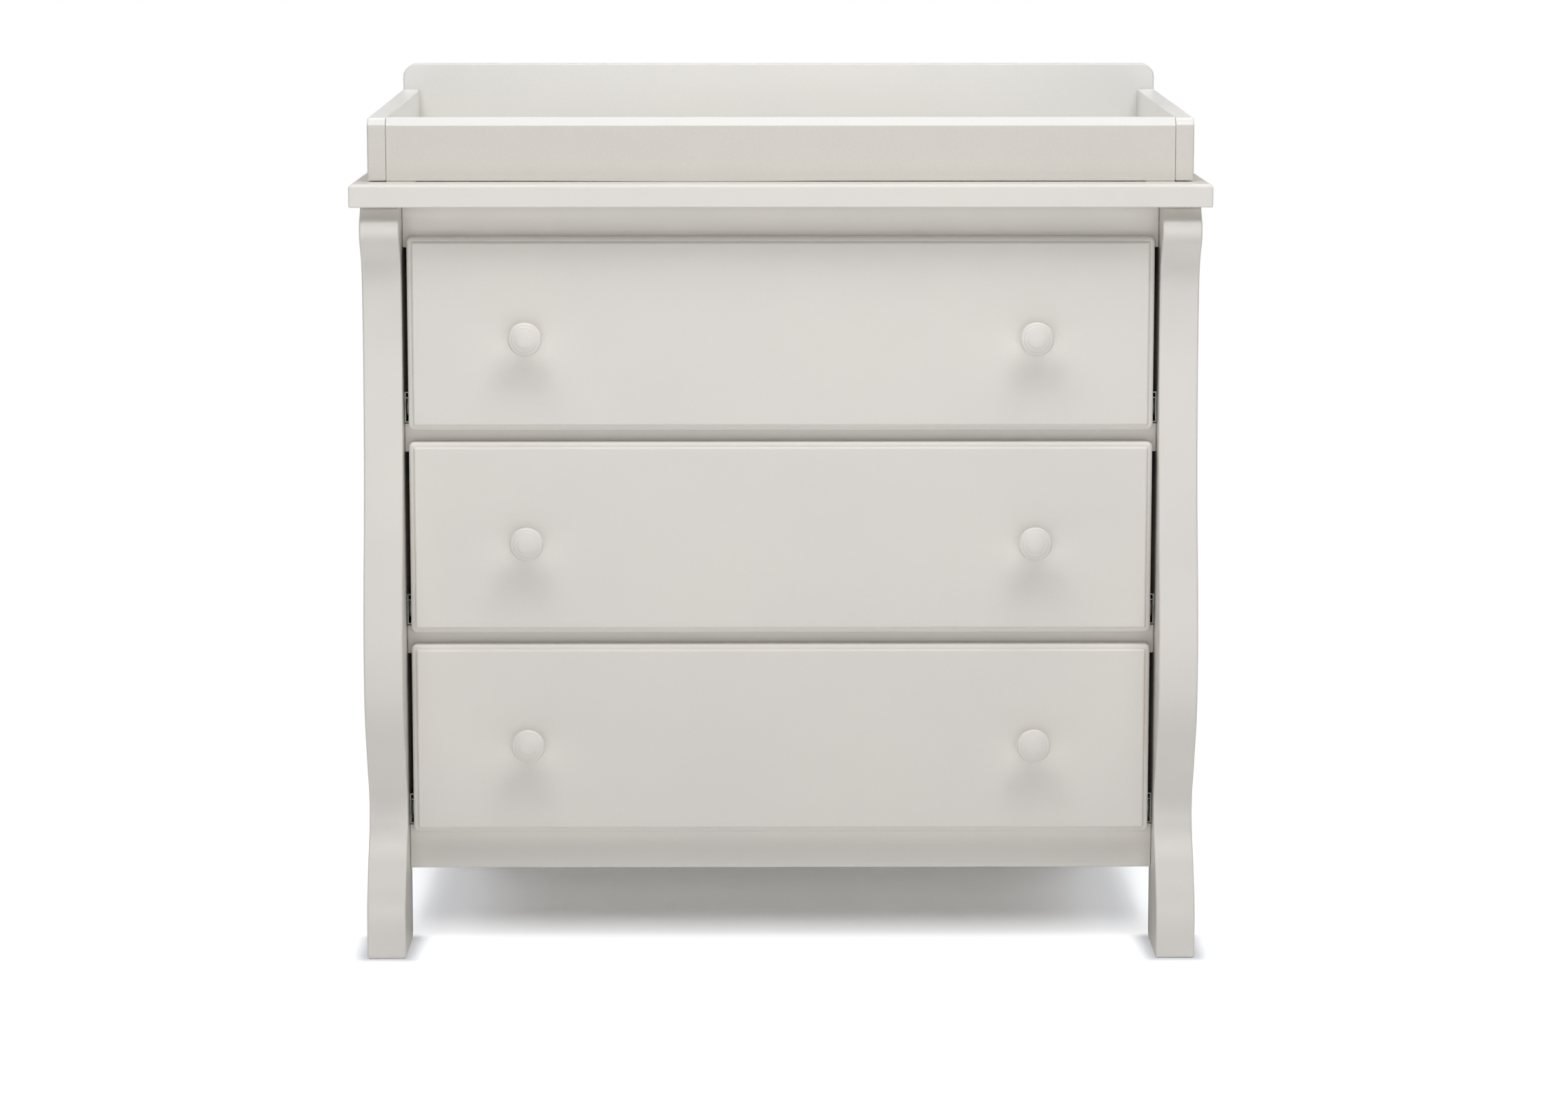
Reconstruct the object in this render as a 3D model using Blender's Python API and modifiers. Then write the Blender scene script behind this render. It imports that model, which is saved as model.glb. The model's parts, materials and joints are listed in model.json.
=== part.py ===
"""A three-drawer changing table: a dresser with S-curved front legs and an open changing top on it.

Metres, +Z up. The dresser stands on Z = 0 and its front faces -Y. Left and right are those of someone
who stands in front of it, so left is -X.
"""

import math

import bmesh
import bpy
from mathutils import Matrix, Vector

GAP = 0.0003  # left between pieces that touch

# Rounded edges
BOARD_EDGE = 0.0015
TOP_BOARD_EDGE = 0.004
FRONT_POST_EDGE = 0.0025
REAR_POST_EDGE = 0.002
REAR_RAIL_EDGE = 0.001
BACK_BOARD_EDGE = 0.002
PLATE_EDGE = 0.0004
EDGE_SEGMENTS = 2
SLAB_SEGMENTS = 3
ROUND = 0.5  # the bevel profile of a quarter circle

# How finely curves and turned shapes are cut
CURVE_STEPS = 6
CORNER_STEPS = 4
TURNED_STEPS = 24
AXLE_STEPS = 20
WELD = 0.00001
FLAT_ANGLE = 0.5
SHARP_ANGLE = 40

# Top board
BOARD_W = 0.908
BOARD_D = 0.540
BOARD_T = 0.0245
BOARD_TOP = 0.829
BOARD_UNDER = BOARD_TOP - BOARD_T

# Joining plates behind the changing top
PLATE_T = 0.002
PLATE_W = 0.018
PLATE_ABOVE = 0.032
PLATE_BELOW = 0.018
PLATE_AT_X = 0.300

# Depths are measured back from the top board's front edge. The feet kick out in front of it.
FOOT_KICK = 0.0186
FRONT_Y = FOOT_KICK - (FOOT_KICK + BOARD_D + GAP + PLATE_T) / 2

# Posts
POST_OUTER = 0.444
POST_T = 0.0415
POST_INNER = POST_OUTER - POST_T
POST_TOP = BOARD_UNDER - GAP
POST_BACK = 0.080
HEEL_R = 0.013
REAR_POST_D = 0.045
REAR_OVERHANG = 0.008
REAR_FACE = BOARD_D - REAR_OVERHANG
# The curved front of a front post: distance in front of the top board's edge, and height.
POST_FRONT = (
    (-0.0066, 0.780),
    (-0.0278, 0.741),
    (-0.0331, 0.700),
    (-0.0310, 0.598),
    (-0.0136, 0.467),
    (0.0018, 0.402),
    (0.0134, 0.302),
    (0.0094, 0.258),
    (-0.0096, 0.210),
    (-0.0296, 0.150),
    (-0.0033, 0.097),
    (0.0158, 0.056),
)
POST_SHOULDER = -0.024

# Panels and rails
RAIL_FACE = 0.054
RAIL_T = 0.020
CASE_BOTTOM = 0.084
PANEL_T = 0.018
BACK_T = 0.005
REAR_RAIL_T = 0.018
REAR_RAIL_H = 0.070

# Drawers, from the bottom one up
DRAWER_PITCH = 0.219
DRAWER_FRONT_H = 0.2065
DRAWER_FRONT_W = 0.794
DRAWER_FRONT_T = 0.020
DRAWER_FRONT_UP = 0.1264
LIP_T = 0.0165
LIP_CORNER = 0.0060
LIP_ROUND = 0.0042
FIELD_INSET = 0.0052
FIELD_CORNER = 0.0034
FIELD_ROUND = 0.0028
OPENING_UP = 0.1320
OPENING_H = 0.1885
MID_RAIL_H = DRAWER_PITCH - OPENING_H
FRONT_STAND_OFF = 0.0005
BOX_HALF = 0.390
BOX_T = 0.012
BOX_H = 0.150
BOX_L = 0.430
BOX_LIFT = 0.006
BOTTOM_UP = 0.010
BOTTOM_T = 0.005
KNOB_X = 0.271
BOX_BACK_DROP = 0.010
KNOB_DROP = 0.003
# Half of a knob's outline, from the middle of its face to the drawer: radius, and height off the drawer.
KNOB_OUTLINE = (
    (0.0000, 0.0280),
    (0.0070, 0.0276),
    (0.0112, 0.0264),
    (0.0126, 0.0244),
    (0.0134, 0.0238),
    (0.0152, 0.0234),
    (0.0172, 0.0218),
    (0.0180, 0.0194),
    (0.0170, 0.0168),
    (0.0130, 0.0140),
    (0.0090, 0.0090),
    (0.0080, 0.0050),
    (0.0095, 0.0000),
    (0.0000, 0.0000),
)

# Runners: the heights are above the lower edge of the drawer's side
SHEET_T = 0.0012
RUNNER_L = 0.400
RUNNER_FRONT = RAIL_FACE + 0.0025
CABINET_LOW = -0.0052
CABINET_HIGH = 0.0277
CABINET_LIP = 0.0087
CABINET_LEDGE = 0.0097
DRAWER_RUNNER_HIGH = 0.0220
DRAWER_RUNNER_LOW = -GAP - SHEET_T
DRAWER_RUNNER_UNDER = 0.0125
DRAWER_RUNNER_REACH = 0.0100
ROLLER_R = 0.010
ROLLER_W = 0.0085
ROLLER_UP = 0.0105
ROLLER_BACK = 0.018
ROLLER_CLEAR = 0.0005
AXLE_R = 0.0025
AXLE_PLAY = 0.0001
REAR_ROLLER_R = 0.012
REAR_ROLLER_UP = 0.0083
REAR_ROLLER_FROM_END = 0.016

# Changing top
FRAME_HALF = 0.437
FRAME_T = 0.0195
FRAME_INNER = FRAME_HALF - FRAME_T
FRAME_STANDS = BOARD_TOP + 0.0010
FRAME_SETBACK = 0.040
FRAME_SIDE_PROUD = 0.001
FRONT_RAIL_H = 0.0666
SIDE_FRONT_H = 0.0661
SIDE_BACK_H = 0.0751
SIDE_CORNER_R = 0.012
BACK_BOARD_H = 0.1041
BACK_BOARD_R = 0.015
RAIL_BEVEL_FRONT = 0.0084
RAIL_BEVEL_REAR = 0.0040

DRAWERS = ("bottom", "middle", "top")
SIDES = (("left", -1), ("right", 1))


def clear_scene():
    for obj in list(bpy.data.objects):
        bpy.data.objects.remove(obj, do_unlink=True)


def new_collection(name, hidden=False):
    collection = bpy.data.collections.new(name)
    bpy.context.scene.collection.children.link(collection)
    collection.hide_render = hidden
    return collection


def new_material(name, colour, roughness, metallic=0.0):
    material = bpy.data.materials.new(name)
    material.use_nodes = True
    shader = material.node_tree.nodes["Principled BSDF"]
    shader.inputs["Base Color"].default_value = (*colour, 1.0)
    shader.inputs["Roughness"].default_value = roughness
    shader.inputs["Metallic"].default_value = metallic
    return material


clear_scene()
PARTS = new_collection("changing_table")
CUTTERS = new_collection("cutters", hidden=True)
WHITE_PAINT = new_material("white_paint", (0.80, 0.785, 0.755), 0.42)
PALE_BOARD = new_material("pale_board", (0.78, 0.74, 0.66), 0.60)
PLATED_STEEL = new_material("plated_steel", (0.52, 0.53, 0.50), 0.38, 1.0)
NYLON = new_material("nylon", (0.72, 0.72, 0.69), 0.50)


def back(depth):
    """World Y of a depth behind the top board's front edge."""
    return FRONT_Y + depth


def finish(obj, material, collection=PARTS, parent=None):
    """Links an object that was built in world space, gives it its material and its parent."""
    collection.objects.link(obj)
    obj.data.materials.clear()
    obj.data.materials.append(material)
    if parent is not None:
        obj.parent = parent
        obj.location -= parent.location
    return obj


def round_edges(obj, width):
    bevel = obj.modifiers.new("rounded edges", "BEVEL")
    bevel.width = width
    bevel.segments = EDGE_SEGMENTS
    bevel.limit_method = "ANGLE"
    bevel.angle_limit = math.radians(SHARP_ANGLE)


def board(name, x, y, z, material=WHITE_PAINT, edge=BOARD_EDGE, parent=None):
    """A flat board between the two ends that x, y and z each give."""
    low, high = (Vector(ends) for ends in zip(x, y, z))
    size = high - low
    mesh = bpy.data.meshes.new(name)
    cube = bmesh.new()
    bmesh.ops.create_cube(cube, size=1.0, matrix=Matrix.Diagonal((*size, 1.0)))
    cube.to_mesh(mesh)
    cube.free()
    obj = bpy.data.objects.new(name, mesh)
    obj.location = (low + high) / 2
    if edge:
        round_edges(obj, edge)
    return finish(obj, material, parent=parent)


def closed_curve(name, points, half_depth, corners="VECTOR"):
    """A filled 2D curve through points of (x, y) or (x, y, handle type)."""
    curve = bpy.data.curves.new(name, "CURVE")
    curve.dimensions = "2D"
    curve.fill_mode = "BOTH"
    curve.extrude = half_depth
    curve.resolution_u = CURVE_STEPS
    spline = curve.splines.new("BEZIER")
    spline.bezier_points.add(len(points) - 1)
    for knot, point in zip(spline.bezier_points, points):
        knot.co = (point[0], point[1], 0)
        knot.handle_left_type = knot.handle_right_type = point[2] if len(point) > 2 else corners
    spline.use_cyclic_u = True
    return bpy.data.objects.new(name, curve)


def as_mesh(curve_object):
    """The curve as a mesh object of the same name and place, with its caps welded on."""
    name = curve_object.name
    CUTTERS.objects.link(curve_object)
    bpy.context.view_layer.update()
    graph = bpy.context.evaluated_depsgraph_get()
    mesh = bpy.data.meshes.new_from_object(curve_object.evaluated_get(graph))
    shape = bmesh.new()
    shape.from_mesh(mesh)
    bmesh.ops.remove_doubles(shape, verts=shape.verts, dist=WELD)
    flat = math.radians(FLAT_ANGLE)
    bmesh.ops.dissolve_limit(shape, angle_limit=flat, verts=shape.verts, edges=shape.edges)
    bmesh.ops.recalc_face_normals(shape, faces=shape.faces)
    shape.to_mesh(mesh)
    shape.free()
    place = curve_object.matrix_world.copy()
    bpy.data.objects.remove(curve_object, do_unlink=True)
    obj = bpy.data.objects.new(name, mesh)
    obj.matrix_world = place
    return obj


def side_view(curve_object, x):
    """Stands an outline of (world Y, world Z) up at world X."""
    curve_object.matrix_world = Matrix(((0, 0, 1, x), (1, 0, 0, 0), (0, 1, 0, 0), (0, 0, 0, 1)))
    return curve_object


def front_view(curve_object, y):
    """Stands an outline of (world X, world Z) up at world Y."""
    curve_object.matrix_world = Matrix(((1, 0, 0, 0), (0, 0, -1, y), (0, 1, 0, 0), (0, 0, 0, 1)))
    return curve_object


def rounded(corner, sides, radius):
    """Points of a quarter round at a corner, from the side that runs along sides[0] to the other."""
    corner = Vector(corner)
    start, end = (Vector(direction) * radius for direction in sides)
    centre = corner + start + end
    turn = [math.pi / 2 * i / CORNER_STEPS for i in range(CORNER_STEPS + 1)]
    return [tuple(centre - end * math.cos(a) - start * math.sin(a)) for a in turn]


def front_post(name, side):
    """The leg and post in one, cut to a long S in front and straight behind."""
    front = [(back(-ahead), height, "AUTO") for ahead, height in reversed(POST_FRONT)]
    heel = rounded((back(POST_BACK), 0), ((0, 1), (-1, 0)), HEEL_R)
    outline = [
        (back(-FOOT_KICK), 0),
        *front,
        (back(-POST_SHOULDER), POST_TOP),
        (back(POST_BACK), POST_TOP),
        *heel,
    ]
    middle = side * (POST_INNER + POST_T / 2)
    post = as_mesh(side_view(closed_curve(name, outline, POST_T / 2), middle))
    round_edges(post, FRONT_POST_EDGE)
    return finish(post, WHITE_PAINT)


def rear_post(name, side):
    x = sorted((side * POST_INNER, side * POST_OUTER))
    y = (back(REAR_FACE - REAR_POST_D), back(REAR_FACE))
    return board(name, x, y, (0, POST_TOP), edge=REAR_POST_EDGE)


def side_panel(name, side):
    x = sorted((side * POST_INNER, side * (POST_INNER + PANEL_T)))
    y = (back(POST_BACK + GAP), back(REAR_FACE - REAR_POST_D - GAP))
    return board(name, x, y, (CASE_BOTTOM, POST_TOP))


def front_rail(name, low, high):
    half = POST_INNER - GAP
    return board(name, (-half, half), (back(RAIL_FACE), back(RAIL_FACE + RAIL_T)), (low, high))


def rear_rail(name, low):
    half = POST_INNER - GAP
    y = (back(REAR_FACE - REAR_RAIL_T), back(REAR_FACE))
    return board(name, (-half, half), y, (low, low + REAR_RAIL_H), edge=REAR_RAIL_EDGE)


def build_carcass():
    half = BOARD_W / 2
    y, z = (back(0), back(BOARD_D)), (BOARD_UNDER, BOARD_TOP)
    board("top_board", (-half, half), y, z, edge=TOP_BOARD_EDGE)
    for word, side in SIDES:
        front_post(f"{word}_front_post", side)
        rear_post(f"{word}_rear_post", side)
        side_panel(f"{word}_side_panel", side)
    front_rail("bottom_front_rail", CASE_BOTTOM, OPENING_UP)
    for name, number in (("lower_middle_rail", 1), ("upper_middle_rail", 2)):
        opening = OPENING_UP + number * DRAWER_PITCH
        front_rail(name, opening - MID_RAIL_H, opening)
    front_rail("top_front_rail", OPENING_UP + 2 * DRAWER_PITCH + OPENING_H, POST_TOP)
    rear_rail("bottom_rear_rail", CASE_BOTTOM)
    rear_rail("top_rear_rail", POST_TOP - REAR_RAIL_H)
    inner = POST_INNER - GAP
    panel_back = REAR_FACE - REAR_RAIL_T - GAP
    y = (back(panel_back - BACK_T), back(panel_back))
    board("back_panel", (-inner, inner), y, (CASE_BOTTOM, POST_TOP), material=PALE_BOARD, edge=0)


def frame_front():
    """The low front rail of the changing top, with its upper edge bevelled, more in front than behind."""
    low, high = FRAME_STANDS, FRAME_STANDS + FRONT_RAIL_H
    front, rear = back(FRAME_SETBACK), back(FRAME_SETBACK + FRAME_T)
    outline = [
        (front, low),
        (front, high - RAIL_BEVEL_FRONT),
        (front + RAIL_BEVEL_FRONT, high),
        (rear - RAIL_BEVEL_REAR, high),
        (rear, high - RAIL_BEVEL_REAR),
        (rear, low),
    ]
    half = FRAME_INNER - GAP
    rail = as_mesh(side_view(closed_curve("changing_top_front", outline, half), 0))
    return finish(rail, WHITE_PAINT)


def frame_side(name, side):
    """A side of the changing top: its upper edge climbs to the back and is rounded at its front end."""
    front = back(FRAME_SETBACK - FRAME_SIDE_PROUD)
    rear = back(BOARD_D - FRAME_T - GAP)
    climb = Vector((rear - front, SIDE_BACK_H - SIDE_FRONT_H)).normalized()
    corner = (front, FRAME_STANDS + SIDE_FRONT_H)
    outline = [
        (front, FRAME_STANDS),
        *rounded(corner, ((0, -1), climb), SIDE_CORNER_R),
        (rear, FRAME_STANDS + SIDE_BACK_H),
        (rear, FRAME_STANDS),
    ]
    middle = side * (FRAME_INNER + FRAME_T / 2)
    panel = as_mesh(side_view(closed_curve(name, outline, FRAME_T / 2), middle))
    round_edges(panel, BOARD_EDGE)
    return finish(panel, WHITE_PAINT)


def frame_back():
    """The tall back board of the changing top, with its upper corners rounded."""
    high = FRAME_STANDS + BACK_BOARD_H
    outline = [
        (-FRAME_HALF, FRAME_STANDS),
        *rounded((-FRAME_HALF, high), ((0, -1), (1, 0)), BACK_BOARD_R),
        *rounded((FRAME_HALF, high), ((-1, 0), (0, -1)), BACK_BOARD_R),
        (FRAME_HALF, FRAME_STANDS),
    ]
    middle = back(BOARD_D - FRAME_T / 2)
    back_board = as_mesh(front_view(closed_curve("changing_top_back", outline, FRAME_T / 2), middle))
    round_edges(back_board, BACK_BOARD_EDGE)
    return finish(back_board, WHITE_PAINT)


def joining_plate(name, side):
    """A flat steel plate behind, screwed to the changing top above and the top board below."""
    x = (side * PLATE_AT_X - PLATE_W / 2, side * PLATE_AT_X + PLATE_W / 2)
    y = (back(BOARD_D + GAP), back(BOARD_D + GAP + PLATE_T))
    z = (BOARD_TOP - PLATE_BELOW, BOARD_TOP + PLATE_ABOVE)
    return board(name, x, y, z, material=PLATED_STEEL, edge=PLATE_EDGE)


def build_changing_top():
    frame_front()
    frame_back()
    for word, side in SIDES:
        frame_side(f"changing_top_{word}", side)
        joining_plate(f"{word}_joining_plate", side)


def slab(width, thickness, height, corner, edge):
    """A slab whose four corners are rounded, and then the edge all round its front."""
    shape = bmesh.new()
    bmesh.ops.create_cube(shape, size=1.0, matrix=Matrix.Diagonal((width, thickness, height, 1.0)))
    corners = [e for e in shape.edges if abs(e.verts[0].co.y - e.verts[1].co.y) > thickness / 2]
    round_off = {"segments": SLAB_SEGMENTS, "profile": ROUND, "affect": "EDGES"}
    bmesh.ops.bevel(shape, geom=corners, offset=corner, **round_off)
    front = min(shape.faces, key=lambda face: face.calc_center_median().y)
    bmesh.ops.bevel(shape, geom=list(front.edges), offset=edge, **round_off)
    bmesh.ops.recalc_face_normals(shape, faces=shape.faces)
    mesh = bpy.data.meshes.new("slab")
    shape.to_mesh(mesh)
    shape.free()
    return mesh


def join(obj, other):
    """Joins another object, kept as a hidden helper, onto this one."""
    other.display_type = "WIRE"
    other.hide_render = True
    union = obj.modifiers.new(f"join {other.name}", "BOOLEAN")
    union.operation = "UNION"
    union.solver = "EXACT"
    union.object = other


def drawer_front(name, low, slide):
    """A drawer front: a rounded lip all round, and a flat field that stands up from it."""
    front = bpy.data.objects.new(
        name, slab(DRAWER_FRONT_W, LIP_T, DRAWER_FRONT_H, LIP_CORNER, LIP_ROUND)
    )
    rear = back(RAIL_FACE - FRONT_STAND_OFF)
    middle = low + DRAWER_FRONT_H / 2
    front.location = (0, rear - LIP_T / 2, middle)
    field_w = DRAWER_FRONT_W - 2 * FIELD_INSET
    field_h = DRAWER_FRONT_H - 2 * FIELD_INSET
    field_t = DRAWER_FRONT_T / 2
    field = bpy.data.objects.new(
        f"{name} field", slab(field_w, field_t, field_h, FIELD_CORNER, FIELD_ROUND)
    )
    field.location = (0, rear - DRAWER_FRONT_T + field_t / 2, middle)
    finish(field, WHITE_PAINT, collection=CUTTERS, parent=slide)
    join(front, field)
    return finish(front, WHITE_PAINT, parent=slide)


def drawer_box(name, opening, slide):
    """The two sides, the back and the bottom behind a drawer front."""
    front = RAIL_FACE - FRONT_STAND_OFF + GAP
    rear = front + BOX_L
    low = opening + BOX_LIFT
    high = low + BOX_H
    for word, side in SIDES:
        x = sorted((side * (BOX_HALF - BOX_T), side * BOX_HALF))
        board(f"{name}_{word}_side", x, (back(front), back(rear)), (low, high), PALE_BOARD, parent=slide)
    inner = BOX_HALF - BOX_T - GAP
    panel = (low + BOTTOM_UP, low + BOTTOM_UP + BOTTOM_T)
    board(f"{name}_bottom", (-inner, inner), (back(front), back(rear)), panel, PALE_BOARD, 0, slide)
    y = (back(rear - BOX_T), back(rear))
    z = (panel[1] + GAP, high - BOX_BACK_DROP)
    board(f"{name}_back", (-inner, inner), y, z, PALE_BOARD, parent=slide)


def turned(name, profile, closed=False):
    """A turned shape round its own Z axis. The profile is (radius, height), down its outer side."""
    mesh = bpy.data.meshes.new(name)
    shape = bmesh.new()
    verts = [shape.verts.new((radius, 0, height)) for radius, height in profile]
    for first, second in zip(verts, verts[1:]):
        shape.edges.new((first, second))
    if closed:
        shape.edges.new((verts[-1], verts[0]))
    shape.to_mesh(mesh)
    shape.free()
    obj = bpy.data.objects.new(name, mesh)
    screw = obj.modifiers.new("turn", "SCREW")
    screw.steps = screw.render_steps = TURNED_STEPS
    screw.use_merge_vertices = True
    screw.merge_threshold = 0.0001
    return obj


def knob(name, x, z, slide):
    """A mushroom knob: a waisted neck, a rounded rim and a raised button in the middle."""
    obj = turned(name, KNOB_OUTLINE)
    obj.rotation_euler = (math.pi / 2, 0, 0)
    face = RAIL_FACE - FRONT_STAND_OFF - DRAWER_FRONT_T
    obj.location = (x, back(face - GAP), z)
    return finish(obj, WHITE_PAINT, parent=slide)


def cylinder(name, radius, x, y, z, steps=AXLE_STEPS):
    """A cylinder along X between the two ends that x gives."""
    mesh = bpy.data.meshes.new(name)
    shape = bmesh.new()
    bmesh.ops.create_cone(
        shape, cap_ends=True, segments=steps, radius1=radius, radius2=radius, depth=abs(x[1] - x[0])
    )
    shape.to_mesh(mesh)
    shape.free()
    obj = bpy.data.objects.new(name, mesh)
    obj.rotation_euler = (0, math.pi / 2, 0)
    obj.location = ((x[0] + x[1]) / 2, y, z)
    return obj


def channel(name, side, outline, front, low):
    """A folded strip of sheet along Y: its outline is (distance from the middle, height above low)."""
    points = [(side * x, low + z) for x, z in outline]
    middle = back(front + RUNNER_L / 2)
    return as_mesh(front_view(closed_curve(name, points, RUNNER_L / 2), middle))


def cabinet_runner(name, side, low):
    """A C-shaped channel on the carcass, with the axle of its front roller. Returns the axle's centre."""
    outer = POST_INNER - GAP
    web = outer - SHEET_T
    outline = [
        (outer, CABINET_LOW),
        (outer, CABINET_HIGH),
        (outer - CABINET_LIP, CABINET_HIGH),
        (outer - CABINET_LIP, CABINET_HIGH - SHEET_T),
        (web, CABINET_HIGH - SHEET_T),
        (web, CABINET_LOW + SHEET_T),
        (outer - CABINET_LEDGE, CABINET_LOW + SHEET_T),
        (outer - CABINET_LEDGE, CABINET_LOW),
    ]
    runner = channel(name, side, outline, RUNNER_FRONT, low)
    end = web - ROLLER_CLEAR - ROLLER_W
    y, z = back(RUNNER_FRONT + ROLLER_BACK), low + ROLLER_UP
    axle = cylinder(f"{name} axle", AXLE_R, (side * (web + SHEET_T / 2), side * end), y, z)
    finish(axle, PLATED_STEEL, collection=CUTTERS)
    finish(runner, PLATED_STEEL)
    join(runner, axle)
    return Vector((side * (end + ROLLER_W / 2), y, z))


def drawer_runner(name, side, low, slide):
    """The strip under and beside a drawer's side, with the roller at its rear end."""
    web = BOX_HALF + GAP
    outline = [
        (BOX_HALF - DRAWER_RUNNER_UNDER, DRAWER_RUNNER_LOW),
        (web + SHEET_T, DRAWER_RUNNER_LOW),
        (web + SHEET_T, DRAWER_RUNNER_HIGH - SHEET_T),
        (web + DRAWER_RUNNER_REACH, DRAWER_RUNNER_HIGH - SHEET_T),
        (web + DRAWER_RUNNER_REACH, DRAWER_RUNNER_HIGH),
        (web, DRAWER_RUNNER_HIGH),
        (web, DRAWER_RUNNER_LOW + SHEET_T),
        (BOX_HALF - DRAWER_RUNNER_UNDER, DRAWER_RUNNER_LOW + SHEET_T),
    ]
    front = RUNNER_FRONT - FRONT_STAND_OFF
    runner = channel(name, side, outline, front, low)
    x = (side * (web + SHEET_T / 2), side * (web + DRAWER_RUNNER_REACH))
    y, z = back(front + RUNNER_L - REAR_ROLLER_FROM_END), low + REAR_ROLLER_UP
    rear_roller = cylinder(f"{name} roller", REAR_ROLLER_R, x, y, z, steps=TURNED_STEPS)
    finish(rear_roller, PLATED_STEEL, collection=CUTTERS)
    finish(runner, PLATED_STEEL, parent=slide)
    join(runner, rear_roller)


def roller(name, centre):
    """A nylon roller on a cabinet runner's axle, with its origin on its own axis."""
    bore = AXLE_R + AXLE_PLAY
    half = ROLLER_W / 2
    profile = [(ROLLER_R, half), (ROLLER_R, -half), (bore, -half), (bore, half)]
    obj = turned(name, profile, closed=True)
    obj.rotation_euler = (0, math.pi / 2, 0)
    obj.location = centre
    return finish(obj, NYLON)


def build_drawer(place, number):
    low = DRAWER_FRONT_UP + number * DRAWER_PITCH
    opening = OPENING_UP + number * DRAWER_PITCH
    slide = bpy.data.objects.new(f"{place}_drawer_slide", None)
    slide.location = (0, back(RAIL_FACE), low + DRAWER_FRONT_H / 2)
    PARTS.objects.link(slide)
    drawer_front(f"{place}_drawer_front", low, slide)
    drawer_box(f"{place}_drawer", opening, slide)
    for word, side in SIDES:
        height = low + DRAWER_FRONT_H / 2 - KNOB_DROP
        knob(f"{place}_drawer_{word}_knob", side * KNOB_X, height, slide)
        side_low = opening + BOX_LIFT
        drawer_runner(f"{place}_drawer_{word}_runner", side, side_low, slide)
        centre = cabinet_runner(f"{place}_cabinet_{word}_runner", side, side_low)
        roller(f"{place}_{word}_roller", centre)


build_carcass()
build_changing_top()
for number, place in enumerate(DRAWERS):
    build_drawer(place, number)
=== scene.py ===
import json
import math

import bmesh
import bpy
from mathutils import Matrix, Vector

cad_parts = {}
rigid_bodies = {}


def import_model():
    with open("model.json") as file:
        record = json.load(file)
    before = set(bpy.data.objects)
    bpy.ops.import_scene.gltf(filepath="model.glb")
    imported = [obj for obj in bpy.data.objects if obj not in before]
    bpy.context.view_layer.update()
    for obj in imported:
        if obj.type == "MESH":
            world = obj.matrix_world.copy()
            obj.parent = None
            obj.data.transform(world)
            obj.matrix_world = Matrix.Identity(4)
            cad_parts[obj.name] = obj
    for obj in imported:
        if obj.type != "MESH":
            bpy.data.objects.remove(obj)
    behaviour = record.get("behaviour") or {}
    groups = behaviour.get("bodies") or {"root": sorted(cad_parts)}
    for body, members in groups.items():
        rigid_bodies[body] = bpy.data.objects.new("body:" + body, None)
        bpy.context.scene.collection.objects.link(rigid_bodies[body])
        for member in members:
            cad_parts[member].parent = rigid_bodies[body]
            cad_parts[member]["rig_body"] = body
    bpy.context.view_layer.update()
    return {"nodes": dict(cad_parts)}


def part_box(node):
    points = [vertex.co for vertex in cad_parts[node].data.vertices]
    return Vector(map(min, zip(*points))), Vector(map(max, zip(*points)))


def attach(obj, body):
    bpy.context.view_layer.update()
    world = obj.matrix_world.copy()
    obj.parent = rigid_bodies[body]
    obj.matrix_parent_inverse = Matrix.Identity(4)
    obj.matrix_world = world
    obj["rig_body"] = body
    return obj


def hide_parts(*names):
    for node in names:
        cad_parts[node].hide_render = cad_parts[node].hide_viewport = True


# The looks of a white changing table: a dresser with S-curved front legs, three drawers and a tray
# on top. Metres, in the CAD model's own frame: +Z up, the front faces -Y. Left is -X.

SIDES = (("left", -1), ("right", 1))
DRAWERS = ("bottom", "middle", "top")

# Camera
CAMERA_X = -0.0222
CAMERA_AHEAD = 4.547  # in front of the top board's edge
CAMERA_UP = 1.136
CAMERA_PITCH = 8.821  # degrees below level
CAMERA_YAW = -0.32
LENS_MM = 99.39
SENSOR_MM = 36.0

# Rounded edges. Angles are in degrees
ROUND_STEPS = 4
SHARP_ANGLE = 35
FLAT_FACE_WEIGHT = 100  # how much more a broad face counts than a small one in the normals
CORNER_STEPS = 8
BOARD_EDGE = 0.0015
TOP_BOARD_EDGE = 0.0044
TOP_BOARD_UNDER = 0.0015
POST_EDGE = 0.0028
REAR_POST_EDGE = 0.002
RAIL_EDGE = 0.001
BACK_SHEET_EDGE = 0.0004
BOX_EDGE = 0.001
BOX_BOTTOM_EDGE = 0.0003
TRAY_RAIL_EDGE = 0.0005
TRAY_SIDE_EDGE = 0.0018
TRAY_BACK_EDGE = 0.0022

# The curved front of a front leg: distance in front of the top board's edge, and height
LEG_FRONT = (
    (0.0158, 0.056),
    (-0.0033, 0.097),
    (-0.0296, 0.150),
    (-0.0096, 0.210),
    (0.0094, 0.258),
    (0.0134, 0.302),
    (0.0018, 0.402),
    (-0.0136, 0.467),
    (-0.0310, 0.598),
    (-0.0331, 0.700),
    (-0.0278, 0.741),
    (-0.0066, 0.780),
)
FOOT_AHEAD = 0.0186
SHOULDER_AHEAD = -0.024
HEEL_R = 0.013
TOE_R = 0.0035
TOE_STEPS = 6
CURVE_STEPS = 14

# Drawer fronts: a lip all round, and a raised field inside it. The edge at the back of the lip is
# given as (inset, distance in front of the back)
FRONT_BACK_EDGE = ((0.0010, 0.0), (0.0003, 0.0003), (0.0, 0.0010))
LIP_T = 0.0165
LIP_CORNER = 0.0058
LIP_ROUND = 0.0040
FIELD_INSET = 0.0050
FIELD_ROUND = 0.0029
LEAST_CORNER = 0.0022
LEAST_RISE = 0.0001
ARC_STEPS = 6

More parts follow.
